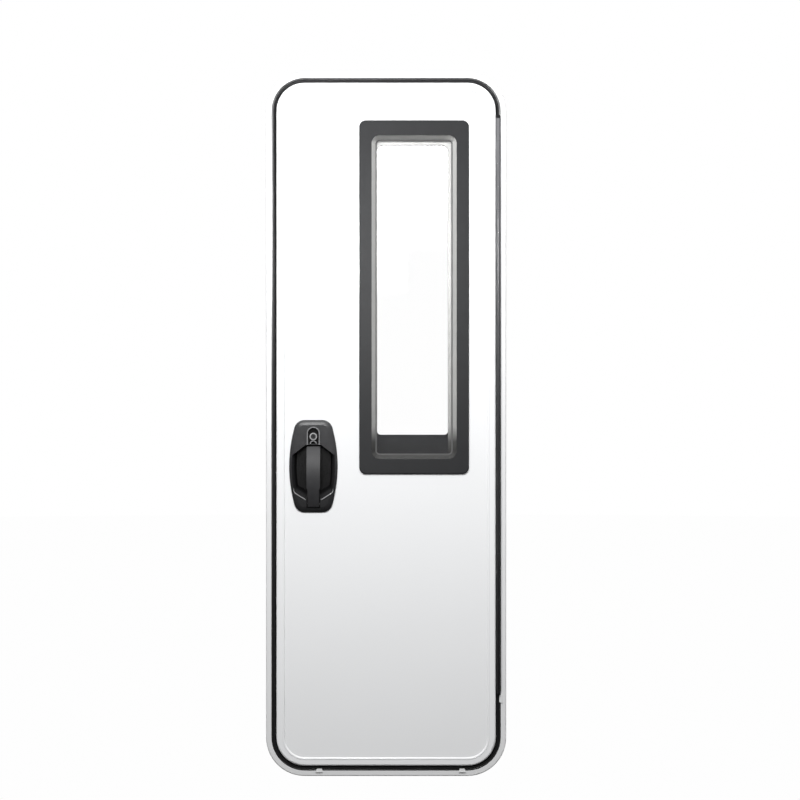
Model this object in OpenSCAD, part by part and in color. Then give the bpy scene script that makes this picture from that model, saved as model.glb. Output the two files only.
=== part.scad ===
// Caravan entrance door: a hinged, insulated leaf with a tall fixed window, hung in its own
// aluminium frame. The frame's flange lies on the outside of the vehicle wall.
// Pieces are drawn in the plane of the door, with X to the right, Y up and Z outward,
// and stand() turns that drawing upright, so that the outside faces -Y and up is +Z.
// The origin lies on the flange's back face, midway along the bottom rail.

/* [Frame] */
// Width over the flange
frame_w = 622; // [510:1:760]
// Height over the flange
frame_h = 1822; // [1500:1:2190]
// Outside corner radius of the flange
frame_r = 100; // [70:1:140]
// Width of the flange
flange_w = 14; // [10:0.5:30]
// Thickness of the flange
flange_t = 4; // [3:0.5:6]
// Thickness of the frame's web and of its stop
web_t = 2.4; // [1.6:0.1:4]
// Gap between the frame and the leaf
gap_w = 13; // [12:0.5:18]
// How far the stop reaches behind the leaf
stop_lap = 8; // [6:0.5:14]
// Height of the seal between the leaf's back and the stop
seal_h = 4.6; // [3:0.1:8]
// Space left between the round seal in the gap and the leaf's edge
bulb_room = 2.5; // [2:0.5:4]
// Width of the bright bead between that seal and the flange
trim_d = 4.8; // [3:0.1:6]

/* [Leaf] */
// Thickness of the leaf over its edge profile
leaf_t = 36; // [29:1:44]
// How far the leaf's face stands out from the flange's back face
leaf_proud = 10; // [8:0.5:14]
// Width of the lip that covers the outer skin's edge
lip_w = 23; // [20:0.5:30]
// Height of the round bead along the lip
bead_h = 0.6; // [0.4:0.1:1.6]
// Thickness of that lip
lip_t = 2; // [1.2:0.1:3]
// Wall of the edge profile
edge_t = 2.4; // [1.6:0.1:3]
// Radius of the leaf's front edge
edge_r = 5; // [3:0.5:8]
// Thickness of each skin
skin_t = 1.2; // [0.8:0.1:2]

/* [Window] */
// Width of the window's outer frame
window_w = 284; // [220:1:320]
// Height of the window's outer frame
window_h = 915; // [500:1:1000]
// Distance of the window's axis from the leaf's axis, towards the hinge
window_x = 72.5; // [0:0.5:90]
// Distance of the window's outer frame from the leaf's top edge
window_drop = 97.5; // [80:0.5:300]
// Corner radius of the window's outer frame
window_r = 17; // [10:0.5:20]
// Width of the face of the window's outer frame at its sides
bezel_side = 32; // [29:0.5:40]
// Width of that face at its top and bottom
bezel_end = 39; // [29:0.5:50]
// Width of the sloping reveal inside that face
reveal_w = 10; // [6:0.5:13]
// How far the window's outer frame stands out from the skin
bezel_h = 5; // [4:0.5:8]
// Thickness of each pane
pane_t = 4; // [3:0.5:5]
// Space between the panes
pane_gap = 8; // [6:0.5:12]
// Height of the inner frame's deep bottom rail
inner_sill_h = 101; // [60:1:130]

/* [Handle] */
// Width of the handle's plate at its middle
handle_w = 125; // [110:1:140]
// Height of the handle's plate
handle_h = 238; // [215:1:290]
// Distance of the handle's axis from the leaf's latch edge
handle_in = 96; // [90:0.5:110]
// Height of the handle's middle over the leaf's lower edge
handle_up = 776; // [600:1:1000]
// Radius of the plate's bowed sides
handle_side_r = 375; // [300:1:500]
// Corner radius of the plate
handle_corner_r = 27; // [14:0.5:30]
// How far the plate stands out from the skin
plate_h = 7; // [5:0.5:9]
// Width of the pull lever at its top
lever_w = 35; // [28:0.5:42]
// Width of the pull lever at its foot
lever_foot_w = 30; // [24:0.5:34]
// Thickness of the pull lever
lever_t = 8; // [6:0.5:10]
// Diameter of the lock cylinder
lock_d = 19; // [16:0.5:20]
// Diameter of the turning key plug
plug_d = 13; // [10:0.5:14]

/* [Hinge] */
// Height of the hinge's lower end over the frame's lower edge
hinge_low = 221; // [100:1:400]
// Distance of the hinge's upper end from the frame's upper edge
hinge_drop = 119; // [100:1:400]
// Number of knuckles, an odd number
knuckles = 25; // [9:2:31]
// Diameter of the barrel
barrel_d = 9; // [7:0.5:10]
// Diameter of the hinge pin
pin_d = 5; // [3:0.5:6]

/* [Hidden] */
$fn = 96;

// Clearances: a turning fit, a seat between two pieces, and a cut that runs past a face
fit = 0.05;
seat = 0.3;
past = 1;

// Places in the drawing. The origin lies on the middle line of the flange's back face.
origin_rise = (flange_w - web_t) / 2;
frame_mid = frame_h / 2 - origin_rise;
leaf_in = flange_w + gap_w;
leaf_w = frame_w - 2 * leaf_in;
leaf_h = frame_h - 2 * leaf_in;
leaf_r = frame_r - leaf_in;
leaf_low = leaf_in - origin_rise;
leaf_top = leaf_low + leaf_h;
face_z = leaf_proud;
back_z = leaf_proud - leaf_t;
skin_z = face_z - lip_t;
inner_lip_t = 1.6;
inner_skin_z = back_z + inner_lip_t;
stop_z = back_z - seal_h;
frame_end_z = stop_z - web_t;
stop_in = leaf_in + stop_lap;
trim_z = flange_t - 0.2 - trim_d / 2;
web_x = frame_w / 2 - flange_w;

// The hinge axis lies midway in the gap, one millimetre behind the leaf's face.
hinge_x = frame_w / 2 - flange_w - gap_w / 2;
hinge_z = face_z - 1;
hinge_y0 = hinge_low - origin_rise;
hinge_y1 = frame_h - hinge_drop - origin_rise;
knuckle_pitch = (hinge_y1 - hinge_y0) / knuckles;
knuckle_gap = 0.5;
wing_t = 1.6;
wing_web_t = 1.8;
wing_depth = 21;
cap_l = 8;
pin_reach = 4;

// The window's axis and the cut-out that it sits in
window_y = leaf_top - window_drop - window_h / 2;
cut_in = 25;
cut_r = 8;
bezel_z = skin_z + bezel_h;
window_seal_t = 1;
bezel_back_z = skin_z + window_seal_t;
bezel_edge_r = 3;
spigot_in = cut_in + 0.5;
pane_in = spigot_in + 4;
pane_r = 6;
inner_pane_z = back_z + 3;
outer_pane_z = inner_pane_z + pane_t + pane_gap;
pane_front_z = outer_pane_z + pane_t;
reveal_r = 21;
glazing_w = 3.5;
inner_left_w = 46;
inner_right_w = 54;
inner_top_h = 62;
inner_trim_t = 4;
inner_trim_in = 4;

// The handle's axis, its lever's arch and the lever's pivot
handle_x = -leaf_w / 2 + handle_in;
handle_y = leaf_low + handle_up;
plate_z = skin_z + plate_h;
handle_seal_t = 1;
tub_floor_z = plate_z - 27;
tub_wall = 2;
housing_in = 7;
cutout_in = 6;
lever_top = handle_h / 2 - 68;
lever_foot = 13 - handle_h / 2;
lever_rise = 16;
lever_apex_z = plate_z + 11;
lever_mid = (lever_top + lever_foot) / 2;
arch_r = (pow(lever_top - lever_mid, 2) + pow(lever_rise, 2)) / (2 * lever_rise);
arch_z = lever_apex_z - arch_r;
pivot_y = lever_foot + 8;
pivot_d = 4;
pivot_z = arch_z + sqrt(pow(arch_r - lever_t / 2, 2) - pow(pivot_y - lever_mid, 2));
slot_side = 2.5;
slot_end = 3;
bowl_rim = 6;
bowl_low = 32 - handle_h / 2;
bowl_high = handle_h / 2 - 64;
bowl_flat = 20;
lock_y = handle_h / 2 - 42.5;
lock_front = plate_z + 4;
lock_boss_z = tub_floor_z + 4;
tongue_w = 34;
tongue_low = bowl_high;
tongue_high = handle_h / 2 - 17;
tongue_rim = 3;
tongue_depth = 6;
cup_wall = 1;
cup_rise = 2;

// The handle on the inside: its plate, its boss and the bar that is gripped
inner_plate_t = 5;
inner_plate_w = 80;
inner_plate_h = 170;
inner_plate_z = inner_skin_z - inner_plate_t;
grip_y = -40;
grip_gap = 18;

// The latch: a fixed pin on the frame stands in a slot that is open to the leaf's back.
striker_y = handle_y - 18;
striker_z = -14;
striker_d = 8;
striker_plate_t = 2;
striker_plate_l = 180;
striker_plate_y = handle_y + 40;
slot_half = 8;
slot_depth = 18;
case_h = 120;
case_w = 36;
case_y = handle_y + 8;
case_cover = 6;

// Screw holes through the uprights, two pairs on each side
screw_d = 4.5;
screw_z = -18;
screw_span_outer = 1400;
screw_span_inner = 480;

// Clips on the flange's inner edge, which reach over the gap: two stand on the bottom rail
// and one on the upright under the hinge
clip_at = [-173, 197];
clip_l = 18;
side_clip_y = 195;
side_clip_l = 22;
clip_back = 4.5;
clip_t = 2;

module stand() {
    rotate([90, 0, 0]) children();
}

// A rounded rectangle of width w, height h and corner radius r
module rounded(w, h, r) {
    square([w - 2 * r, h], center = true);
    square([w, h - 2 * r], center = true);
    for (sx = [-1, 1], sy = [-1, 1])
        translate([sx * (w / 2 - r), sy * (h / 2 - r)]) circle(r);
}

// A flat plate of that outline, from z0 up to z1
module slab(w, h, r, z0, z1) {
    translate([0, 0, z0]) linear_extrude(z1 - z0) rounded(w, h, r);
}

// A section swept round a rounded rectangle. The section's X runs inward from the outline.
module ring(w, h, r) {
    for (side = [0, 1])
        mirror([side, 0, 0]) translate([-w / 2, 0, 0]) rotate([90, 0, 0])
            linear_extrude(h - 2 * r, center = true) children();
    for (side = [0, 1])
        mirror([0, side, 0]) rotate([0, 0, 90]) translate([-h / 2, 0, 0]) rotate([90, 0, 0])
            linear_extrude(w - 2 * r, center = true) children();
    for (corner = [[1, 1, 0], [-1, 1, 90], [-1, -1, 180], [1, -1, 270]])
        translate([corner[0] * (w / 2 - r), corner[1] * (h / 2 - r), 0])
            rotate([0, 0, corner[2]]) rotate_extrude(angle = 90)
                translate([r, 0]) mirror([1, 0]) children();
}

// A rectangle between two corners
module span(x0, z0, x1, z1) {
    translate([x0, z0]) square([x1 - x0, z1 - z0]);
}

module frame_section() {
    flange_edge_r = 3;
    span(0, 0, flange_w, flange_t - flange_edge_r);
    span(flange_edge_r, 0, flange_w, flange_t);
    translate([flange_edge_r, flange_t - flange_edge_r]) circle(flange_edge_r);
    span(flange_w - web_t, frame_end_z, flange_w, flange_t);
    span(flange_w - web_t, frame_end_z, stop_in, stop_z);
}

module frame_outline() {
    translate([0, frame_mid, 0]) ring(frame_w, frame_h, frame_r) children();
}

module leaf_outline() {
    translate([0, frame_mid, 0]) ring(leaf_w, leaf_h, leaf_r) children();
}

// The space that the hinge and its end caps take out of the pieces in the gap
module hinge_room() {
    translate([web_x - gap_w, hinge_y0 - cap_l - past, -wing_depth])
        cube([gap_w + past, hinge_y1 - hinge_y0 + 2 * cap_l + 2 * past, 2 * wing_depth]);
}

module screw_holes() {
    for (side = [-1, 1], along = [-1, 1], apart = [screw_span_outer, screw_span_inner])
        translate([side * (web_x + web_t / 2), frame_mid + along * apart / 2, screw_z])
            rotate([0, 90, 0]) cylinder(d = screw_d, h = web_t + 2 * past, center = true);
}

module outer_frame() {
    color("gainsboro") stand() difference() {
        frame_outline() frame_section();
        screw_holes();
    }
}

// The black seal: a foot on the stop, a bulb that the leaf closes on and a fin up the web
module frame_seal() {
    bulb_r = (seal_h - seat) / 2;
    fin_t = 2;
    fin_h = leaf_t / 7;
    foot_t = seal_h / 2;
    color([0.05, 0.05, 0.05]) stand() frame_outline() union() {
        span(flange_w, stop_z, stop_in, stop_z + foot_t);
        translate([stop_in - bulb_r, stop_z + bulb_r]) circle(bulb_r);
        span(flange_w, stop_z, flange_w + fin_t, stop_z + fin_h);
    }
}

// The bright bead against the web and the round seal beside it, both let in for the hinge
module gap_trim() {
    foot_h = trim_d / 2;
    color("silver") stand() difference() {
        frame_outline() translate([flange_w, trim_z]) union() {
            translate([trim_d / 2, 0]) circle(d = trim_d);
            span(0, -foot_h / 2, trim_d / 2, foot_h / 2);
        }
        hinge_room();
    }
}

module gap_seal() {
    bulb_r = (gap_w - bulb_room - trim_d / 2) / 2;
    bulb_x = leaf_in - bulb_room - bulb_r;
    bulb_z = trim_z - sqrt(pow(bulb_r + trim_d / 2 + fit, 2) - pow(bulb_r, 2));
    foot_h = bulb_r;
    color([0.05, 0.05, 0.05]) stand() difference() {
        frame_outline() translate([0, bulb_z]) union() {
            translate([bulb_x, 0]) circle(bulb_r);
            span(flange_w, -foot_h / 2, bulb_x, foot_h / 2);
        }
        hinge_room();
    }
}

module striker_plate() {
    color("silver") stand()
        translate([-web_x, striker_plate_y - striker_plate_l / 2, striker_z - striker_d / 2])
            cube([striker_plate_t, striker_plate_l, striker_d]);
}

module striker_pin() {
    pin_end = -leaf_w / 2 + slot_depth - 2;
    pin_start = -web_x + striker_plate_t;
    color("silver") stand() translate([pin_start, striker_y, striker_z])
        rotate([0, 90, 0]) cylinder(d = striker_d, h = pin_end - pin_start);
}

// A clip, drawn on the flange's front with Y towards the leaf
module clip(length, reach) {
    slope = 3;
    rib_t = 0.8;
    rib_w = 2;
    rib_in = 2.5;
    rib_l = length - 2 * rib_in;
    linear_extrude(clip_t) polygon([
        [-length / 2, -clip_back], [length / 2, -clip_back], [length / 2, 0],
        [length / 2 - slope, reach], [slope - length / 2, reach], [-length / 2, 0]
    ]);
    translate([-rib_l / 2, rib_w / 2 - clip_back, 0]) cube([rib_l, rib_w, clip_t + rib_t]);
}

module frame_clips() {
    reach = 5.5;
    side_reach = 4;
    color("gainsboro") stand() {
        for (x = clip_at)
            translate([x, flange_w - origin_rise, flange_t]) clip(clip_l, reach);
        translate([web_x, side_clip_y, flange_t]) rotate([0, 0, 90])
            clip(side_clip_l, side_reach);
    }
}

// One knuckle with the strip that joins it to its wing. The wing lies towards X.
module knuckle(strip) {
    cylinder(d = barrel_d, h = knuckle_pitch - knuckle_gap);
    translate([min(strip, 0), 0, 0])
        cube([abs(strip), wing_web_t, knuckle_pitch - knuckle_gap]);
}

// One half of the continuous hinge: a plate on its own wall and every second knuckle
module hinge_wing(side, first) {
    reach = gap_w / 2 - wing_t / 2;
    difference() {
        union() {
            translate([side > 0 ? gap_w / 2 - wing_t : -gap_w / 2, 0, 0])
                cube([wing_t, wing_depth, hinge_y1 - hinge_y0]);
            for (i = [first : 2 : knuckles - 1])
                translate([0, 0, i * knuckle_pitch + knuckle_gap / 2])
                    knuckle(side * reach);
        }
        translate([0, 0, -past]) cylinder(d = pin_d + 2 * fit, h = hinge_y1 - hinge_y0 + 2 * past);
    }
}

module at_hinge() {
    translate([hinge_x, -hinge_z, hinge_y0]) children();
}

module hinge_frame_wing() {
    color([0.06, 0.06, 0.06]) at_hinge() hinge_wing(1, 0);
}

module hinge_leaf_wing() {
    color([0.06, 0.06, 0.06]) at_hinge() hinge_wing(-1, 1);
}

module hinge_pin() {
    color("silver") at_hinge() translate([0, 0, -pin_reach])
        cylinder(d = pin_d, h = hinge_y1 - hinge_y0 + 2 * pin_reach);
}

// A cap on the end of the barrel, blind over the pin's end
module hinge_cap(length, d) {
    difference() {
        cylinder(d = d, h = length);
        translate([0, 0, -past]) cylinder(d = pin_d + 2 * fit, h = pin_reach + past + fit);
    }
}

module hinge_top_cap() {
    color([0.05, 0.05, 0.05]) at_hinge() translate([0, 0, hinge_y1 - hinge_y0])
        hinge_cap(cap_l, barrel_d);
}

module hinge_bottom_cap() {
    color([0.05, 0.05, 0.05]) at_hinge() mirror([0, 0, 1]) hinge_cap(cap_l, barrel_d);
}

// The edge profile's section: a channel with a rounded front corner and a beaded lip
module edge_section() {
    bead_r = 5;
    bead_x = lip_w - bead_r;
    inner_r = edge_r - edge_t;
    difference() {
        union() {
            span(0, back_z, lip_w, face_z - edge_r);
            span(edge_r, back_z, bead_x, face_z);
            translate([edge_r, face_z - edge_r]) circle(edge_r);
            translate([bead_x, face_z + bead_h - bead_r]) circle(bead_r);
        }
        span(edge_t, inner_skin_z, lip_w + past, skin_z - inner_r);
        span(edge_t + inner_r, inner_skin_z, lip_w + past, skin_z);
        translate([edge_t + inner_r, skin_z - inner_r]) circle(inner_r);
    }
}

// The slot for the striker pin, open to the leaf's back and to its latch edge
module striker_slot() {
    translate([-leaf_w / 2 - past, striker_y - slot_half, back_z - past])
        cube([slot_depth + past, 2 * slot_half, striker_z + slot_half - back_z + past]);
}

module leaf_edge_profile() {
    color("white") stand() difference() {
        leaf_outline() edge_section();
        striker_slot();
    }
}

module window_cut(z0, z1) {
    translate([window_x, window_y, 0])
        slab(window_w - 2 * cut_in, window_h - 2 * cut_in, cut_r, z0, z1);
}

module handle_cut(z0, z1) {
    translate([handle_x, handle_y, z0]) linear_extrude(z1 - z0) barrel(cutout_in);
}

// A sheet of the leaf from z0 to z1, inside the edge profile, with the window cut out
module leaf_sheet(z0, z1) {
    difference() {
        translate([0, frame_mid, 0])
            slab(leaf_w - 2 * edge_r, leaf_h - 2 * edge_r, leaf_r - edge_r, z0, z1);
        window_cut(z0 - past, z1 + past);
        striker_slot();
    }
}

module outer_skin() {
    color("white") stand() difference() {
        leaf_sheet(skin_z - skin_t, skin_z);
        handle_cut(skin_z - skin_t - past, skin_z + past);
    }
}

module inner_skin() {
    color("white") stand() leaf_sheet(inner_skin_z, inner_skin_z + skin_t);
}

module foam_core() {
    color("lightyellow") stand() difference() {
        leaf_sheet(inner_skin_z + skin_t, skin_z - skin_t);
        handle_cut(tub_floor_z - tub_wall - 1, skin_z);
        latch_block(seat);
    }
}

// The body of the latch case, grown by a clearance
module latch_block(grow) {
    translate([-leaf_w / 2 + edge_t, case_y - case_h / 2 - grow, inner_skin_z + skin_t])
        cube([
            case_w - edge_t + grow, case_h + 2 * grow,
            skin_z - inner_skin_z - 2 * skin_t - case_cover + grow
        ]);
}

module latch_case() {
    color("silver") stand() difference() {
        latch_block(0);
        striker_slot();
    }
}

// The window, drawn about its own axis
module at_window() {
    stand() translate([window_x, window_y, 0]) children();
}

module window_gasket() {
    gasket_in = 1.5;
    color([0.05, 0.05, 0.05]) at_window() difference() {
        slab(window_w - 2 * gasket_in, window_h - 2 * gasket_in, window_r - gasket_in,
            skin_z, bezel_back_z);
        slab(window_w - 2 * cut_in, window_h - 2 * cut_in, cut_r, skin_z - past, bezel_z);
    }
}

// The opening in the face of the outer frame
module bezel_opening(z0, z1) {
    slab(window_w - 2 * bezel_side, window_h - 2 * bezel_end, reveal_r, z0, z1);
}

module window_outer_frame() {
    color([0.2, 0.2, 0.21]) at_window() difference() {
        union() {
            ring(window_w, window_h, window_r) union() {
                span(0, bezel_back_z, 2 * bezel_edge_r, bezel_z - bezel_edge_r);
                span(bezel_edge_r, bezel_back_z, 2 * bezel_edge_r, bezel_z);
                translate([bezel_edge_r, bezel_z - bezel_edge_r])
                    intersection() {
                        circle(bezel_edge_r);
                        translate([-bezel_edge_r, bezel_back_z - bezel_z + bezel_edge_r])
                            square(2 * bezel_edge_r);
                    }
            }
            slab(window_w - 2 * bezel_edge_r - 1, window_h - 2 * bezel_edge_r - 1,
                window_r - bezel_edge_r - 0.5, bezel_back_z, bezel_z);
            slab(window_w - 2 * spigot_in, window_h - 2 * spigot_in, cut_r,
                outer_pane_z, bezel_back_z);
        }
        slab(window_w - 2 * pane_in + 1, window_h - 2 * pane_in + 1, pane_r + 0.5,
            outer_pane_z - past, pane_front_z);
        bezel_opening(outer_pane_z - past, bezel_z + past);
    }
}

// The bright reveal: a sloping wall from the face of the outer frame in to the pane
module window_reveal() {
    top_z = bezel_z - 0.8;
    wall_h = 5.7;
    foot_w = 3;
    foot_t = 1;
    color("silver") at_window()
        ring(window_w - 2 * bezel_side, window_h - 2 * bezel_end, reveal_r) polygon([
            [0, top_z], [reveal_w, pane_front_z + foot_t], [reveal_w, pane_front_z],
            [reveal_w - foot_w, pane_front_z], [0, top_z - wall_h]
        ]);
}

module pane(z0) {
    color([0.85, 0.9, 0.9, 0.35]) at_window()
        slab(window_w - 2 * pane_in, window_h - 2 * pane_in, pane_r, z0, z0 + pane_t);
}

module window_outer_pane() {
    pane(outer_pane_z);
}

module window_inner_pane() {
    pane(inner_pane_z);
}

// The black seal that runs round the outer pane's front, inside the reveal
module glazing_seal() {
    seal_t = 1;
    foot_in = bezel_side + reveal_w;
    foot_end = bezel_end + reveal_w;
    foot_r = reveal_r - reveal_w;
    color([0.05, 0.05, 0.05]) at_window() difference() {
        slab(window_w - 2 * foot_in, window_h - 2 * foot_end, foot_r,
            pane_front_z, pane_front_z + seal_t);
        slab(window_w - 2 * foot_in - 2 * glazing_w, window_h - 2 * foot_end - 2 * glazing_w,
            foot_r - glazing_w, pane_front_z - past, pane_front_z + seal_t + past);
    }
}

// A window opening with different rims on its four sides, and smaller bottom corners
module rimmed_opening(bottom, low_r, z0, z1) {
    open_w = window_w - inner_left_w - inner_right_w;
    open_h = window_h - inner_top_h - bottom;
    open_r = 17;
    translate([(inner_left_w - inner_right_w) / 2, (bottom - inner_top_h) / 2, 0]) {
        slab(open_w, open_h, open_r, z0, z1);
        translate([0, -open_h / 4, 0]) slab(open_w, open_h / 2, low_r, z0, z1);
    }
}

// The bright bar between the panes shows at the sides and at the top, not over the sill.
module window_spacer() {
    color("silver") at_window() difference() {
        slab(window_w - 2 * pane_in - 2, window_h - 2 * pane_in - 2, pane_r - 1,
            inner_pane_z + pane_t, outer_pane_z);
        rimmed_opening(bezel_end + reveal_w, reveal_r - reveal_w, inner_pane_z,
            outer_pane_z + past);
    }
}

module window_inner_frame() {
    trim_w = window_w - 2 * inner_trim_in;
    trim_h = window_h - 2 * inner_trim_in;
    trim_back_z = back_z - inner_trim_t;
    sill_r = 9;
    color([0.2, 0.2, 0.21]) at_window() difference() {
        union() {
            ring(trim_w, trim_h, window_r) union() {
                span(0, trim_back_z + inner_trim_t / 2, inner_trim_t, inner_skin_z);
                span(inner_trim_t / 2, trim_back_z, inner_trim_t, inner_skin_z);
                translate([inner_trim_t / 2, trim_back_z + inner_trim_t / 2]) circle(inner_trim_t / 2);
            }
            slab(trim_w - 2 * inner_trim_t + 1, trim_h - 2 * inner_trim_t + 1,
                window_r - inner_trim_t + 0.5, trim_back_z, inner_skin_z);
            slab(window_w - 2 * spigot_in, window_h - 2 * spigot_in, cut_r,
                inner_skin_z - past, inner_pane_z);
        }
        rimmed_opening(inner_sill_h, sill_r, trim_back_z - past, inner_pane_z + past);
    }
}

// The handle plate's outline: bowed sides between rounded corners, inset on every side
module barrel(inset) {
    half_w = handle_w / 2 - inset;
    half_h = handle_h / 2 - inset;
    side_r = handle_side_r - inset;
    corner_r = max(handle_corner_r - inset, 2);
    side_x = side_r - half_w;
    corner_y = half_h - corner_r;
    corner_x = sqrt(pow(side_r - corner_r, 2) - pow(corner_y, 2)) - side_x;
    tangent_y = corner_y * side_r / (side_r - corner_r);
    blend = 0.02;
    intersection() {
        translate([-side_x, 0]) circle(side_r, $fn = 240);
        translate([side_x, 0]) circle(side_r, $fn = 240);
        square([4 * half_w, 2 * tangent_y], center = true);
    }
    square([2 * corner_x, 2 * half_h], center = true);
    for (sx = [-1, 1], sy = [-1, 1])
        translate([sx * corner_x, sy * corner_y]) circle(corner_r + blend, $fn = 40);
}

// The finger bowl's mouth: the plate's sides, with slanting shoulders above and below.
// Deeper down its sides and its ends draw in by different amounts.
module bowl(side_in, low_in, high_in) {
    reach = handle_w / 2;
    low = bowl_low + low_in;
    high = bowl_high - high_in;
    low_side = low + 26;
    high_side = high - 33;
    intersection() {
        barrel(bowl_rim + side_in);
        polygon([
            [-reach, low_side], [-bowl_flat, low], [bowl_flat, low], [reach, low_side],
            [reach, high_side], [bowl_flat, high], [-bowl_flat, high], [-reach, high_side]
        ]);
    }
}

module at_handle() {
    stand() translate([handle_x, handle_y, 0]) children();
}

module handle_gasket() {
    color([0.05, 0.05, 0.05]) at_handle() difference() {
        translate([0, 0, skin_z]) linear_extrude(handle_seal_t) barrel(1.5);
        translate([0, 0, skin_z - past]) linear_extrude(handle_seal_t + 2 * past) barrel(cutout_in);
    }
}

// The slot that the lever's foot turns in, from below the foot up into the bowl
module foot_slot() {
    slot_h = bowl_low + 8 - lever_foot + slot_end;
    slot_z = plate_z - 22;
    intersection() {
        translate([-lever_foot_w / 2 - slot_side, lever_foot - slot_end, slot_z])
            cube([lever_foot_w + 2 * slot_side, slot_h, plate_z - slot_z + past]);
        translate([0, 0, slot_z]) linear_extrude(plate_z - slot_z + past) barrel(5);
    }
}

// The plate's edge rolls over in four steps, each an inset and a depth under its face.
module handle_housing() {
    low_z = skin_z + handle_seal_t;
    edge_roll = [[0, 4.2], [2.5, 2.4], [6.5, 1.1], [13, 0]];
    color([0.07, 0.07, 0.07]) at_handle() difference() {
        union() {
            hull() for (roll = edge_roll)
                translate([0, 0, low_z]) linear_extrude(plate_h - roll[1] - handle_seal_t)
                    barrel(roll[0]);
            intersection() {
                translate([0, 0, tub_floor_z - tub_wall])
                    linear_extrude(low_z - tub_floor_z + tub_wall) barrel(housing_in);
                translate([-handle_w / 2, -handle_h / 2, tub_floor_z - tub_wall])
                    cube([handle_w, handle_h, low_z - tub_floor_z + tub_wall]);
            }
        }
        hull() {
            translate([0, 0, plate_z]) linear_extrude(past) bowl(0, 0, 0);
            translate([0, 0, tub_floor_z]) linear_extrude(1) bowl(12, 24, 3);
        }
        foot_slot();
        translate([0, 0, plate_z - tongue_depth]) linear_extrude(tongue_depth + past)
            cup(tongue_rim - cup_wall, cup_rise);
        translate([0, lock_y, tub_floor_z - tub_wall - past])
            cylinder(d = lock_d + 2 * fit, h = plate_z - tub_floor_z + tub_wall + 2 * past);
        translate([0, pivot_y, pivot_z]) rotate([0, 90, 0])
            cylinder(d = pivot_d + 2 * fit, h = lever_foot_w + 16, center = true);
    }
}

// The raised tongue round the lock, with a rim that stands up like an upturned U
module tongue(inset) {
    r = tongue_w / 2 - inset;
    round_y = tongue_high - tongue_w / 2;
    translate([0, round_y]) circle(r);
    translate([-r, tongue_low]) square([2 * r, round_y - tongue_low]);
}

// The small arch under the lock cylinder, over the lever's end
module lock_arch() {
    arch_out = 9;
    arch_in = 6.2;
    arch_y = lock_y - lock_d / 2 - arch_out - 0.5;
    translate([0, arch_y]) difference() {
        circle(arch_out);
        circle(arch_in);
        translate([-arch_out - past, -2 * arch_out]) square([2 * arch_out + 2 * past, 2 * arch_out]);
    }
}

// The cup that is let into the plate inside the tongue's rim
module cup(inset, rise) {
    intersection() {
        tongue(inset);
        translate([-tongue_w / 2, tongue_low + rise]) square([tongue_w, handle_h]);
    }
}

module lock_surround() {
    cup_z = plate_z - tongue_depth;
    arch_drop = 1;
    color([0.12, 0.12, 0.12]) at_handle() {
        difference() {
            union() {
                translate([0, 0, plate_z]) linear_extrude(lock_front - plate_z) tongue(0);
                translate([0, 0, cup_z]) linear_extrude(tongue_depth + past)
                    cup(tongue_rim - cup_wall, cup_rise);
            }
            translate([0, 0, cup_z + cup_wall]) linear_extrude(lock_front)
                cup(tongue_rim, cup_rise + cup_wall);
            translate([0, 0, plate_z]) linear_extrude(lock_front) union() {
                tongue(tongue_rim);
                translate([-tongue_w / 2 + tongue_rim, tongue_low - past])
                    square([tongue_w - 2 * tongue_rim, 2 * past]);
            }
            translate([0, lock_y, cup_z - past])
                cylinder(d = lock_d + 2 * fit, h = lock_front);
        }
        translate([0, 0, cup_z]) linear_extrude(lock_front - cup_z - arch_drop) lock_arch();
    }
}

module lock_cylinder() {
    color("silver") at_handle() difference() {
        translate([0, lock_y, tub_floor_z]) cylinder(d = lock_d, h = lock_front - tub_floor_z);
        translate([0, lock_y, lock_boss_z])
            cylinder(d = plug_d + 2 * fit, h = lock_front - tub_floor_z);
    }
}

module key_plug() {
    key_w = 8;
    key_t = 1.6;
    key_depth = 8;
    plug_proud = 0.5;
    color("silver") at_handle() translate([0, lock_y, 0]) difference() {
        translate([0, 0, lock_boss_z + seat])
            cylinder(d = plug_d, h = lock_front - lock_boss_z - seat + plug_proud);
        translate([-key_t / 2, -key_w / 2, lock_front - key_depth])
            cube([key_t, key_w, key_depth + past]);
    }
}

module handle_pivot_pin() {
    color("silver") at_handle() translate([0, pivot_y, pivot_z]) rotate([0, 90, 0])
        cylinder(d = pivot_d, h = lever_foot_w + 14, center = true);
}

// The lever is a curved bar, wide over the bowl and narrower where it enters its slot.
module lever_bar() {
    step_high = bowl_low + 31;
    step_low = step_high - 5;
    intersection() {
        translate([-handle_w / 2, 0, 0]) rotate([90, 0, 90]) linear_extrude(handle_w)
            translate([lever_mid, arch_z]) difference() {
                circle(arch_r, $fn = 240);
                circle(arch_r - lever_t, $fn = 240);
                translate([-arch_r - past, -2 * arch_r]) square([2 * arch_r + 2 * past, 2 * arch_r]);
            }
        translate([0, 0, -handle_w / 2]) linear_extrude(handle_w) polygon([
            [-lever_foot_w / 2, lever_foot], [lever_foot_w / 2, lever_foot],
            [lever_foot_w / 2, step_low], [lever_w / 2, step_high],
            [lever_w / 2, lever_top], [-lever_w / 2, lever_top],
            [-lever_w / 2, step_high], [-lever_foot_w / 2, step_low]
        ]);
    }
}

module handle_lever() {
    color([0.09, 0.09, 0.09]) at_handle() difference() {
        lever_bar();
        translate([0, pivot_y, pivot_z]) rotate([0, 90, 0])
            cylinder(d = pivot_d + 2 * fit, h = lever_w + 2 * past, center = true);
    }
}

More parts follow.
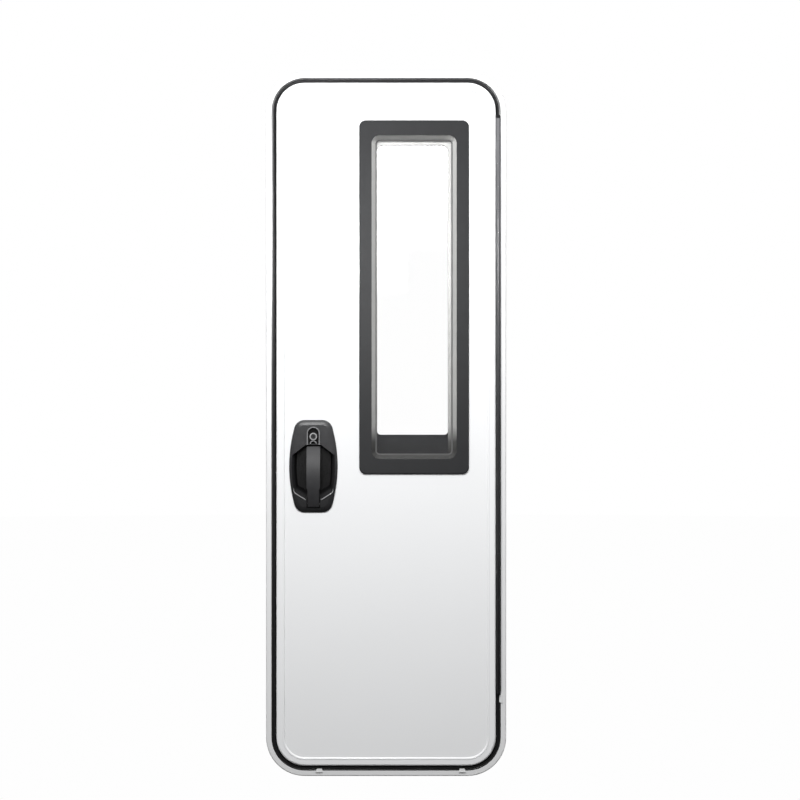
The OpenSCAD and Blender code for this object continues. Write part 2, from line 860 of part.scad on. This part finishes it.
module inner_handle_plate() {
    plate_r = 16;
    plate_edge_r = 2.5;
    color([0.75, 0.75, 0.75]) at_handle() union() {
        ring(inner_plate_w, inner_plate_h, plate_r) union() {
            span(0, inner_plate_z + plate_edge_r, 2 * plate_edge_r, inner_skin_z);
            translate([plate_edge_r, inner_plate_z + plate_edge_r]) circle(plate_edge_r);
            span(plate_edge_r, inner_plate_z, 2 * plate_edge_r, inner_skin_z);
        }
        slab(inner_plate_w - 3 * plate_edge_r, inner_plate_h - 3 * plate_edge_r,
            plate_r - 1.5 * plate_edge_r, inner_plate_z, inner_skin_z);
    }
}

// A boss and a stepped neck carry the bar that is gripped
module inner_handle_lever() {
    grip_w = 22;
    grip_t = 9;
    grip_h = 120;
    boss_d = 34;
    boss_t = 5;
    neck_d = 18;
    grip_z = inner_plate_z - grip_gap;
    color([0.3, 0.3, 0.3]) at_handle() union() {
        translate([0, grip_y, inner_plate_z - boss_t]) cylinder(d = boss_d, h = boss_t);
        translate([0, grip_y, grip_z]) cylinder(d = neck_d, h = grip_gap);
        translate([0, grip_y + grip_h / 2 - grip_w / 2, grip_z - grip_t]) linear_extrude(grip_t) {
            square([grip_w, grip_h - grip_w], center = true);
            for (end = [-1, 1])
                translate([0, end * (grip_h - grip_w) / 2]) circle(d = grip_w);
        }
    }
}

outer_frame();
frame_seal();
gap_seal();
gap_trim();
striker_plate();
striker_pin();
frame_clips();
hinge_frame_wing();
hinge_pin();
hinge_top_cap();
hinge_bottom_cap();
leaf_edge_profile();
outer_skin();
inner_skin();
foam_core();
hinge_leaf_wing();
window_gasket();
window_outer_frame();
window_reveal();
glazing_seal();
window_outer_pane();
window_spacer();
window_inner_pane();
window_inner_frame();
handle_gasket();
handle_housing();
lock_surround();
lock_cylinder();
handle_pivot_pin();
latch_case();
inner_handle_plate();
inner_handle_lever();
handle_lever();
key_plug();
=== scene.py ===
"""Looks of the caravan entrance door: materials, small fasteners, studio and camera."""

import math

import bmesh
import bpy
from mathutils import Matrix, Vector


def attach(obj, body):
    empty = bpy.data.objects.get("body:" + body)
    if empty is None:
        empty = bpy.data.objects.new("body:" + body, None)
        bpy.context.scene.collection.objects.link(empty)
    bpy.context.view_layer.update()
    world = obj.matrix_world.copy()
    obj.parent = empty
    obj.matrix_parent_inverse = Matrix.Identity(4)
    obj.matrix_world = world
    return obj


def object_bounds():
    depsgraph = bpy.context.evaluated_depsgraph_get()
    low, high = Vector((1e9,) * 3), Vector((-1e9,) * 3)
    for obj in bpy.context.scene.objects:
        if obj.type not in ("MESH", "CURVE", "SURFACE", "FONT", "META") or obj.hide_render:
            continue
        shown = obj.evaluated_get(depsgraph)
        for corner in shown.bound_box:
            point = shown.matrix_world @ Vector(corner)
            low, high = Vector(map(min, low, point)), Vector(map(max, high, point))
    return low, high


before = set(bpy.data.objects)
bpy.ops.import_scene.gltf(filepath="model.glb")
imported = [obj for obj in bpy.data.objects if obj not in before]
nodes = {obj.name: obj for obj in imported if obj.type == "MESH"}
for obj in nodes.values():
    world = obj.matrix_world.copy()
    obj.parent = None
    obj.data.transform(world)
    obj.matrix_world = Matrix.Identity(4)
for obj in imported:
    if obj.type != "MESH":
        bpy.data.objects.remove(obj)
cad_low, cad_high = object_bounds()


# Materials

def new_material(name):
    """An empty node material, with its node tree and its output node."""
    material = bpy.data.materials.new(name)
    material.use_nodes = True
    tree = material.node_tree
    tree.nodes.clear()
    output = tree.nodes.new("ShaderNodeOutputMaterial")
    return material, tree, output


def set_inputs(node, **values):
    """Sets a node's inputs by name, with _ for each space, and an alpha of 1 for colours."""
    for name, value in values.items():
        socket = node.inputs[name.replace("_", " ")]
        if hasattr(socket.default_value, "__len__") and len(value) == 3:
            value = (*value, 1)
        socket.default_value = value


def noise(tree, scale, detail=3, stretch=(1, 1, 1)):
    """A noise texture in object space, with its scale in features per metre."""
    place = tree.nodes.new("ShaderNodeTexCoord")
    mapping = tree.nodes.new("ShaderNodeMapping")
    mapping.inputs["Scale"].default_value = stretch
    texture = tree.nodes.new("ShaderNodeTexNoise")
    set_inputs(texture, Scale=scale, Detail=detail, Roughness=0.55)
    tree.links.new(place.outputs["Object"], mapping.inputs["Vector"])
    tree.links.new(mapping.outputs["Vector"], texture.inputs["Vector"])
    return texture.outputs["Fac"]


def cells(tree, scale):
    """Rounded cells in object space, for a moulded grain."""
    place = tree.nodes.new("ShaderNodeTexCoord")
    texture = tree.nodes.new("ShaderNodeTexVoronoi")
    texture.feature = "SMOOTH_F1"
    set_inputs(texture, Scale=scale, Smoothness=0.6)
    tree.links.new(place.outputs["Object"], texture.inputs["Vector"])
    return texture.outputs["Distance"]


# A noise texture mostly stays between these two values
NOISE_LOW = 0.3
NOISE_HIGH = 0.7


def between(tree, factor, low, high):
    """The factor mapped from its middle range to low..high."""
    mapped = tree.nodes.new("ShaderNodeMapRange")
    set_inputs(mapped, From_Min=NOISE_LOW, From_Max=NOISE_HIGH, To_Min=low, To_Max=high)
    tree.links.new(factor, mapped.inputs["Value"])
    return mapped.outputs["Result"]


def shade(tree, factor, dark, light):
    """A colour from dark to light as the factor goes through its middle range."""
    ramp = tree.nodes.new("ShaderNodeValToRGB")
    first, last = ramp.color_ramp.elements
    first.position, first.color = NOISE_LOW, (*dark, 1)
    last.position, last.color = NOISE_HIGH, (*light, 1)
    tree.links.new(factor, ramp.inputs["Fac"])
    return ramp.outputs["Color"]


def bump(tree, height, depth, under=None):
    """A relief of the given depth in metres, laid over the normal named under."""
    node = tree.nodes.new("ShaderNodeBump")
    set_inputs(node, Strength=1.0, Distance=depth)
    tree.links.new(height, node.inputs["Height"])
    if under:
        tree.links.new(under, node.inputs["Normal"])
    return node.outputs["Normal"]


def grey(tone):
    """A grey with an alpha of 1."""
    return (tone, tone, tone, 1)


# Sockets of a Mix node that mixes colours
MIX_FACTOR, MIX_A, MIX_B, MIX_RESULT = 0, 6, 7, 2


# Painted light and shade: a brightness multiplied into the colour along one axis, standing in
# for reflections and shade.
def painted_fade(tree, color, axis, stops):
    """The colour multiplied by a factor that changes along one of the object's own axes.

    stops are (place in metres, factor) pairs, in order of place."""
    place = tree.nodes.new("ShaderNodeTexCoord")
    split = tree.nodes.new("ShaderNodeSeparateXYZ")
    along = tree.nodes.new("ShaderNodeMapRange")
    ramp = tree.nodes.new("ShaderNodeValToRGB")
    blend = tree.nodes.new("ShaderNodeMix")
    low, high = stops[0][0], stops[-1][0]
    set_inputs(along, From_Min=low, From_Max=high)
    points = ramp.color_ramp.elements
    points[0].color = grey(stops[0][1])
    points[1].color = grey(stops[-1][1])
    for where, factor in stops[1:-1]:
        points.new((where - low) / (high - low)).color = grey(factor)
    blend.data_type = "RGBA"
    blend.blend_type = "MULTIPLY"
    blend.inputs[MIX_FACTOR].default_value = 1
    tree.links.new(place.outputs["Object"], split.inputs["Vector"])
    tree.links.new(split.outputs[axis], along.inputs["Value"])
    tree.links.new(along.outputs["Result"], ramp.inputs["Fac"])
    tree.links.new(color, blend.inputs[MIX_A])
    tree.links.new(ramp.outputs["Color"], blend.inputs[MIX_B])
    return blend.outputs[MIX_RESULT]


# How much finer the patches of gloss are than the patches of colour
GLOSS_PATCHES = 9
COARSE_DETAIL = 2
FINE_DETAIL = 4


def surface(name, color, spread, patch, rough, fine=None, coarse=None, grain=None,
            stretch=(1, 1, 1), painted_fades=(), **constants):
    """A material with cloudy colour, uneven gloss and up to three heights of relief.

    color is the middle tone, spread how far light and dark patches lie from it, and patch
    how many patches there are in a metre. rough is the least and greatest roughness.
    fine, coarse and grain are (features per metre, depth in metres), and stretch scales
    the patches along each axis. fades are (axis, stops) as faded() takes them, and
    constants are inputs of the shader."""
    material, tree, output = new_material(name)
    shader = tree.nodes.new("ShaderNodeBsdfPrincipled")
    set_inputs(shader, **constants)
    cloud = noise(tree, patch, stretch=stretch)
    dark = [c * (1 - spread) for c in color]
    light = [min(c * (1 + spread), 1) for c in color]
    tone = shade(tree, cloud, dark, light)
    for axis, stops in painted_fades:
        tone = painted_fade(tree, tone, axis, stops)
    tree.links.new(tone, shader.inputs["Base Color"])
    small = noise(tree, patch * GLOSS_PATCHES, stretch=stretch)
    tree.links.new(between(tree, small, *rough), shader.inputs["Roughness"])
    normal = None
    if coarse:
        height = noise(tree, coarse[0], COARSE_DETAIL, stretch)
        normal = bump(tree, height, coarse[1], normal)
    if grain:
        normal = bump(tree, cells(tree, grain[0]), grain[1], normal)
    if fine:
        height = noise(tree, fine[0], FINE_DETAIL, stretch)
        normal = bump(tree, height, fine[1], normal)
    if normal:
        tree.links.new(normal, shader.inputs["Normal"])
    tree.links.new(shader.outputs["BSDF"], output.inputs["Surface"])
    return material


HAZE_PATCHES = 30
HAZE_ROUGHNESS = 0.012


def glass(name):
    """Clear glazing. Its low alpha lets most of the light through to what lies behind."""
    material, tree, output = new_material(name)
    shader = tree.nodes.new("ShaderNodeBsdfPrincipled")
    set_inputs(shader, Base_Color=(1, 1, 1), IOR=1.45, Transmission_Weight=1.0, Alpha=0.1)
    haze = noise(tree, HAZE_PATCHES)
    tree.links.new(between(tree, haze, 0.0, HAZE_ROUGHNESS), shader.inputs["Roughness"])
    tree.links.new(shader.outputs["BSDF"], output.inputs["Surface"])
    return material


# Painted reflections and shade: ramps along an axis paint into the colour the fall in
# brightness that reflections give down the gap, the hinge and the window's reveal, and the
# shade deep in the handle.
# Places are in metres.
FRAME_COAT = surface(
    "frame_coat", (0.90, 0.905, 0.91), 0.008, 6, (0.3, 0.34), Metallic=0.2)
# Painted reflection: the reveal and the spacer are near black below 0.86 m and brighter
# towards the top.
REVEAL_PAINTED_REFLECTION = surface(
    "reveal_painted_reflection", (0.62, 0.62, 0.61), 0.02, 20, (0.2, 0.26),
    painted_fades=[("Z", ((0.80, 0.06), (0.86, 0.22), (0.90, 0.9), (1.0, 1.05), (1.63, 1.1),
                  (1.67, 1.6)))], Metallic=0.35)
# Painted reflection: the trim in the gap is near black at the bottom, lightest about 1.5 m up
# and darker again at the top.
TRIM_PAINTED_REFLECTION = surface(
    "trim_painted_reflection", (0.9, 0.9, 0.91), 0.02, 20, (0.2, 0.26),
    painted_fades=[("Z", ((0.0, 0.03), (0.45, 0.05), (0.97, 0.14), (1.3, 0.3), (1.5, 0.5),
                  (1.70, 0.4), (1.78, 0.12)))], Metallic=0.5)
# Painted reflection: the black coat is lightened up to nine times towards the top, as a sheen
# on the hinge.
HINGE_COAT_PAINTED_SHEEN = surface(
    "hinge_coat_painted_sheen", (0.018, 0.018, 0.019), 0.1, 12, (0.16, 0.24),
    painted_fades=[("Z", ((0.2, 0.5), (0.9, 2.0), (1.4, 7.0), (1.7, 9.0)))],
    fine=(1200, 0.00001), Coat_Weight=0.6, Coat_Roughness=0.08)
STEEL = surface(
    "steel", (0.62, 0.62, 0.63), 0.06, 40, (0.2, 0.3), fine=(700, 0.00001),
    stretch=(1, 1, 0.08), Metallic=1.0)
DARK_STEEL = surface(
    "dark_steel", (0.05, 0.05, 0.052), 0.1, 60, (0.35, 0.5), fine=(900, 0.00001),
    Metallic=0.8)
RUBBER = surface(
    "rubber", (0.014, 0.014, 0.015), 0.2, 20, (0.45, 0.6), fine=(1500, 0.00003))
GLOSS_RUBBER = surface(
    "gloss_rubber", (0.008, 0.008, 0.009), 0.2, 20, (0.3, 0.4), fine=(300, 0.00001))
GREY_RUBBER = surface(
    "grey_rubber", (0.10, 0.10, 0.10), 0.1, 20, (0.4, 0.5), fine=(1500, 0.00001))
GREY_PLASTIC = surface(
    "grey_plastic", (0.55, 0.56, 0.56), 0.03, 20, (0.35, 0.45), grain=(1400, 0.00004))
# Painted shade and light: the plastic darkens deeper into the bowl and towards the bottom, and
# is lighter at the top.
HANDLE_PLASTIC_PAINTED_SHADING = surface(
    "handle_plastic_painted_shading", (0.038, 0.038, 0.040), 0.12, 60, (0.26, 0.36), grain=(1300, 0.00005),
    painted_fades=[("Y", ((-0.0145, 1.0), (-0.011, 0.95), (-0.003, 0.85), (0.003, 0.2),
                  (0.014, 0.12))),
           ("Z", ((0.68, 0.35), (0.73, 0.55), (0.86, 1.0), (0.92, 1.1)))],
    fine=(2600, 0.00002))
LEVER_PLASTIC = surface(
    "lever_plastic", (0.032, 0.032, 0.034), 0.1, 60, (0.42, 0.5), grain=(1500, 0.00004))
CYLINDER = surface(
    "lock_metal", (0.55, 0.55, 0.56), 0.06, 80, (0.2, 0.3), Metallic=0.55)
# Painted highlight and shade: the lock's black plastic rim is a light grey at its front and
# near black behind it, in the pocket.
RIM_PAINTED_HIGHLIGHT_AND_SHADE = surface(
    "rim_painted_highlight_and_shade", (0.20, 0.20, 0.205), 0.05, 60, (0.18, 0.26), fine=(2600, 0.00001),
    painted_fades=[("Y", ((-0.0192, 1.0), (-0.0180, 1.0), (-0.0160, 0.08), (-0.009, 0.03)))])
# Painted highlight: the bowl's beads are black plastic, made a mid grey for the bright lines
# along the bowl's edge.
LIP_PAINTED_HIGHLIGHT = surface(
    "lip_painted_highlight", (0.24, 0.24, 0.245), 0.1, 60, (0.18, 0.24), fine=(2600, 0.00001))
CHARCOAL = surface(
    "charcoal_plastic", (0.017, 0.0175, 0.019), 0.08, 30, (0.42, 0.5), fine=(1600, 0.00002))
WHITE_COAT = surface(
    "white_coat", (0.865, 0.872, 0.88), 0.01, 4, (0.16, 0.22), fine=(700, 0.000004),
    Coat_Weight=0.6, Coat_Roughness=0.05)
WHITE_SKIN = surface(
    "white_skin", (0.865, 0.872, 0.88), 0.01, 2, (0.14, 0.2), coarse=(5, 0.0002),
    fine=(900, 0.000004), Coat_Weight=0.6, Coat_Roughness=0.04)
INNER_PANEL = surface(
    "inner_panel", (0.80, 0.80, 0.78), 0.02, 6, (0.42, 0.52), grain=(900, 0.00004),
    fine=(1800, 0.00002))
FOAM = surface(
    "foam", (0.84, 0.80, 0.66), 0.08, 50, (0.8, 0.95), grain=(700, 0.0003))
CLEAR = glass("clear_glazing")

FINISH = {
    "outer_frame": FRAME_COAT, "frame_clips": FRAME_COAT, "gap_trim": TRIM_PAINTED_REFLECTION,
    "frame_seal": RUBBER, "gap_seal": GLOSS_RUBBER, "window_reveal": REVEAL_PAINTED_REFLECTION,
    "window_spacer": REVEAL_PAINTED_REFLECTION, "glazing_seal": GREY_RUBBER,
    "window_gasket": RUBBER, "handle_gasket": RUBBER,
    "striker_plate": STEEL, "striker_pin": STEEL, "hinge_pin": STEEL,
    "handle_pivot_pin": DARK_STEEL, "lock_cylinder": CYLINDER, "key_plug": DARK_STEEL,
    "latch_case": STEEL,
    "hinge_frame_wing": HINGE_COAT_PAINTED_SHEEN, "hinge_leaf_wing": HINGE_COAT_PAINTED_SHEEN,
    "hinge_top_cap": GLOSS_RUBBER, "hinge_bottom_cap": GLOSS_RUBBER,
    "leaf_edge_profile": WHITE_COAT, "outer_skin": WHITE_SKIN,
    "inner_skin": INNER_PANEL, "foam_core": FOAM,
    "window_outer_frame": CHARCOAL, "window_inner_frame": CHARCOAL,
    "window_outer_pane": CLEAR, "window_inner_pane": CLEAR,
    "handle_housing": HANDLE_PLASTIC_PAINTED_SHADING, "lock_surround": RIM_PAINTED_HIGHLIGHT_AND_SHADE,
    "handle_lever": LEVER_PLASTIC,
    "inner_handle_plate": GREY_PLASTIC, "inner_handle_lever": CHARCOAL,
}

NO_BEVEL = {"window_outer_pane", "window_inner_pane", "foam_core", "window_outer_frame"}
# Bevel widths in metres, and the angle between faces from which an edge is bevelled
USUAL_BEVEL = 0.0003
BEVEL_ANGLE = math.radians(40)
BEVEL_WIDTH = {
    "handle_lever": 0.0015, "latch_case": 0.0005, "lock_surround": 0.0008,
    "lock_cylinder": 0.0012, "key_plug": 0.0008,
}

for name, node in nodes.items():
    node.data.materials.clear()
    node.data.materials.append(FINISH[name])
    if name not in NO_BEVEL:
        edge = node.modifiers.new("soft_edges", "BEVEL")
        edge.width = BEVEL_WIDTH.get(name, USUAL_BEVEL)
        edge.segments = 2
        edge.limit_method = "ANGLE"
        edge.angle_limit = BEVEL_ANGLE
        edge.use_clamp_overlap = True


# Small fasteners and trim, which the CAD leaves to this script

SCREW_SIDES = 30
LOBES = 6
LOBE_DEPTH = 0.16


def screw_rings(radius, height):
    """Radius, height and lobe depth of each ring of a pan head with a six-lobe socket."""
    socket = radius * 0.42
    return (
        (radius, 0, 0), (radius, height * 0.25, 0), (radius * 0.94, height * 0.6, 0),
        (radius * 0.78, height * 0.88, 0), (radius * 0.56, height, 0),
        (socket, height, LOBE_DEPTH), (socket * 0.94, height * 0.4, LOBE_DEPTH),
        (0, height * 0.34, 0),
    )


def add_piece(name, data, material, body):
    """A new object for data, riding on body, with the finish it is given."""
    piece = bpy.data.objects.new(name, data)
    bpy.context.scene.collection.objects.link(piece)
    data.materials.append(material)
    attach(piece, body)


def screw_head(mesh, size, place, turn):
    """One head, turned and moved to its place, as rings of points joined by faces."""
    rings = []
    for radius, rise, lobe in screw_rings(*size):
        ring = []
        for step in range(SCREW_SIDES if radius else 1):
            angle = math.tau * step / SCREW_SIDES
            reach = radius * (1 + lobe * math.cos(LOBES * angle))
            spot = Vector((reach * math.cos(angle), reach * math.sin(angle), rise))
            ring.append(mesh.verts.new(Vector(place) + turn @ spot))
        rings.append(ring)
    mesh.faces.new(list(reversed(rings[0])))
    for under, over in zip(rings, rings[1:]):
        for step in range(SCREW_SIDES):
            after = (step + 1) % SCREW_SIDES
            if len(over) == 1:
                mesh.faces.new((under[step], under[after], over[0]))
            else:
                mesh.faces.new((under[step], under[after], over[after], over[step]))


def screws(name, body, size, facing, places):
    """One piece with a screw head at each place, its top towards facing.

    size is the head's radius and height."""
    mesh = bmesh.new()
    turn = Vector(facing).to_track_quat("Z", "Y")
    for place in places:
        screw_head(mesh, size, place, turn)
    data = bpy.data.meshes.new(name)
    mesh.to_mesh(data)
    mesh.free()
    add_piece(name, data, STEEL, body)


# Radius and height of each kind of head
FRAME_HEAD = (0.0042, 0.0022)
WING_HEAD = (0.0035, 0.0014)
INSIDE_HEAD = (0.0034, 0.0018)
STRIKER_HEAD = (0.0028, 0.0012)
LEFT, RIGHT, INSIDE = (-1, 0, 0), (1, 0, 0), (0, 1, 0)

# Through the uprights, in the CAD's holes
FRAME_MIDDLE = 0.9052
WEB_FACE = 0.2946
WEB_MIDDLE = 0.018
frame_rows = [FRAME_MIDDLE + rise for rise in (-0.7, -0.24, 0.24, 0.7)]
screws("frame_screws_left", "frame", FRAME_HEAD, RIGHT,
       [(-WEB_FACE, WEB_MIDDLE, z) for z in frame_rows])
screws("frame_screws_right", "frame", FRAME_HEAD, LEFT,
       [(WEB_FACE, WEB_MIDDLE, z) for z in frame_rows])

# Along the hinge's two wings
FRAME_WING_FACE = 0.2954
LEAF_WING_FACE = 0.2856
WING_MIDDLE = 0.005
WING_SCREWS = 9
LOWEST_WING_SCREW = 0.2552
WING_PITCH = 0.1752
wing_rows = [LOWEST_WING_SCREW + WING_PITCH * step for step in range(WING_SCREWS)]
screws("hinge_frame_screws", "frame", WING_HEAD, LEFT,
       [(FRAME_WING_FACE, WING_MIDDLE, z) for z in wing_rows])
screws("hinge_leaf_screws", "leaf", WING_HEAD, RIGHT,
       [(LEAF_WING_FACE, WING_MIDDLE, z) for z in wing_rows])

# On the inside, round the handle's plate and the window's inner frame
PLATE_FACE = 0.0294
PLATE_COLUMNS = (-0.2195, -0.1565)
PLATE_ROWS = (0.7212, 0.8732)
screws("inner_handle_screws", "leaf", INSIDE_HEAD, INSIDE,
       [(x, PLATE_FACE, z) for x in PLATE_COLUMNS for z in PLATE_ROWS])
WINDOW_FRAME_FACE = 0.0299
WINDOW_COLUMNS = (-0.0445, 0.1895)
WINDOW_SCREWS = 5
LOWEST_WINDOW_SCREW = 0.8032
WINDOW_PITCH = 0.2155
window_rows = [LOWEST_WINDOW_SCREW + WINDOW_PITCH * step for step in range(WINDOW_SCREWS)]
screws("inner_window_screws", "leaf", INSIDE_HEAD, INSIDE,
       [(x, WINDOW_FRAME_FACE, z) for x in WINDOW_COLUMNS for z in window_rows])

# On the striker, in the latch-side gap
STRIKER_FACE = -0.295
STRIKER_MIDDLE = 0.014
STRIKER_ROWS = (0.7672, 0.9072)
screws("striker_screws", "frame", STRIKER_HEAD, RIGHT,
       [(STRIKER_FACE, STRIKER_MIDDLE, z) for z in STRIKER_ROWS])


HANDLE_MIDDLE_X = -0.188
LIP_RADIUS = 0.0017
# Place in metres and share of the bead's radius, along the left half of the bowl
LIP_PATH = (
    (-0.2392, -0.0134, 0.7405, 0.25), (-0.2377, -0.0136, 0.7308, 0.6),
    (-0.2352, -0.0142, 0.7272, 0.9), (-0.2293, -0.0149, 0.7230, 1.0),
    (-0.2180, -0.0149, 0.7160, 1.0), (-0.2080, -0.0148, 0.7098, 0.7),
)


def lip(name, mirror):
    """A raised bead that rounds the bowl's lower edge, from the wall to the lever's slot."""
    curve = bpy.data.curves.new(name, "CURVE")
    curve.dimensions = "3D"
    curve.bevel_depth = LIP_RADIUS
    curve.bevel_resolution = 4
    curve.resolution_u = 8
    curve.use_fill_caps = True
    spline = curve.splines.new("BEZIER")
    spline.bezier_points.add(len(LIP_PATH) - 1)
    for point, (x, y, z, width) in zip(spline.bezier_points, LIP_PATH):
        point.co = (2 * HANDLE_MIDDLE_X - x if mirror else x, y, z)
        point.radius = width
        point.handle_left_type = point.handle_right_type = "AUTO"
    # The bead's grey is a painted highlight on black plastic.
    add_piece(name, curve, LIP_PAINTED_HIGHLIGHT, "leaf")


lip("bowl_lip_left", False)
lip("bowl_lip_right", True)


# Studio

def glow(name, tone):
    """A plain grey or white that shines by itself, for the stage."""
    material, tree, output = new_material(name)
    light = tree.nodes.new("ShaderNodeEmission")
    set_inputs(light, Color=grey(tone), Strength=1.0)
    tree.links.new(light.outputs["Emission"], output.inputs["Surface"])
    return material


def seen_only(obj):
    """Leaves obj to be seen, also through glass, but keeps it out of the light on the door."""
    obj.visible_diffuse = False
    obj.visible_glossy = False
    obj.visible_shadow = False
    obj.visible_volume_scatter = False


ROOM = 14
FLOOR = ROOM * 0.98
bpy.ops.mesh.primitive_uv_sphere_add(segments=64, ring_count=32, radius=ROOM)
room = bpy.context.object
room.name = "room"
room.data.materials.append(glow("room_white", 1.0))
seen_only(room)
bpy.ops.mesh.primitive_circle_add(
    vertices=96, radius=FLOOR, fill_type="NGON", location=(0, 0, cad_low.z))
floor = bpy.context.object
floor.name = "floor"
floor.data.materials.append(glow("floor_pale", 0.99))
seen_only(floor)

# What glossy faces mirror and what fills the shadows: dark below the horizon, light above.
# The heights are sines of the angle over the horizon.
SKY_STRENGTH = 0.6
SKY = (
    (-1, 0.10), (-0.3, 0.05), (-0.08, 0.02), (-0.02, 0.05), (0.07, 0.16), (0.17, 0.62),
    (0.3, 1.0), (1, 1.0),
)
world = bpy.data.worlds.new("studio")
bpy.context.scene.world = world
world.use_nodes = True
tree = world.node_tree
tree.nodes.clear()
place = tree.nodes.new("ShaderNodeTexCoord")
split = tree.nodes.new("ShaderNodeSeparateXYZ")
ramp = tree.nodes.new("ShaderNodeValToRGB")
sky = tree.nodes.new("ShaderNodeBackground")
world_output = tree.nodes.new("ShaderNodeOutputWorld")
remap = tree.nodes.new("ShaderNodeMapRange")
set_inputs(remap, From_Min=-1.0, From_Max=1.0)
tree.links.new(place.outputs["Generated"], split.inputs["Vector"])
tree.links.new(split.outputs["Z"], remap.inputs["Value"])
tree.links.new(remap.outputs["Result"], ramp.inputs["Fac"])
tree.links.new(ramp.outputs["Color"], sky.inputs["Color"])
tree.links.new(sky.outputs["Background"], world_output.inputs["Surface"])
stops = ramp.color_ramp.elements
stops[0].color = grey(SKY[0][1])
stops[1].color = grey(SKY[-1][1])
for height, tone in SKY[1:-1]:
    stops.new((height + 1) / 2).color = grey(tone)
set_inputs(sky, Strength=SKY_STRENGTH)


def softbox(name, place, target, size, power):
    """A soft rectangular light of size in metres and power in watts, unseen by the camera."""
    data = bpy.data.lights.new(name, "AREA")
    data.shape = "RECTANGLE"
    data.size, data.size_y = size
    data.energy = power
    obj = bpy.data.objects.new(name, data)
    bpy.context.scene.collection.objects.link(obj)
    obj.location = place
    aim = Vector(target) - Vector(place)
    obj.rotation_euler = aim.to_track_quat("-Z", "Y").to_euler()
    obj.visible_camera = False
    return obj


# Glossy faces don't mirror the key or the back light. The sheen is only mirrored: it puts
# the highlight on the handle.
key = softbox("key", (-0.2, -1.9, 2.6), (0, 0, 1.6), (2.0, 1.0), 97)
key.visible_glossy = False
sheen = softbox("sheen", (-0.24, -1.5, 1.44), (-0.19, 0, 0.9), (0.6, 0.24), 9)
sheen.visible_diffuse = False
back = softbox("back", (0.6, 2.6, 2.4), (0, 0, 1.0), (2.0, 1.4), 60)
back.visible_glossy = False


# Camera

CAMERA_PLACE = (0.036, -6.0, 0.968)
LENS = 104.2
SENSOR = 36
camera_data = bpy.data.cameras.new("camera")
camera_data.sensor_width = SENSOR
camera_data.lens = LENS
camera = bpy.data.objects.new("camera", camera_data)
bpy.context.scene.collection.objects.link(camera)
camera.location = CAMERA_PLACE
camera.rotation_euler = (math.pi / 2, 0, 0)
bpy.context.scene.camera = camera
bpy.context.scene.view_settings.view_transform = "Standard"
bpy.context.scene.view_settings.look = "None"
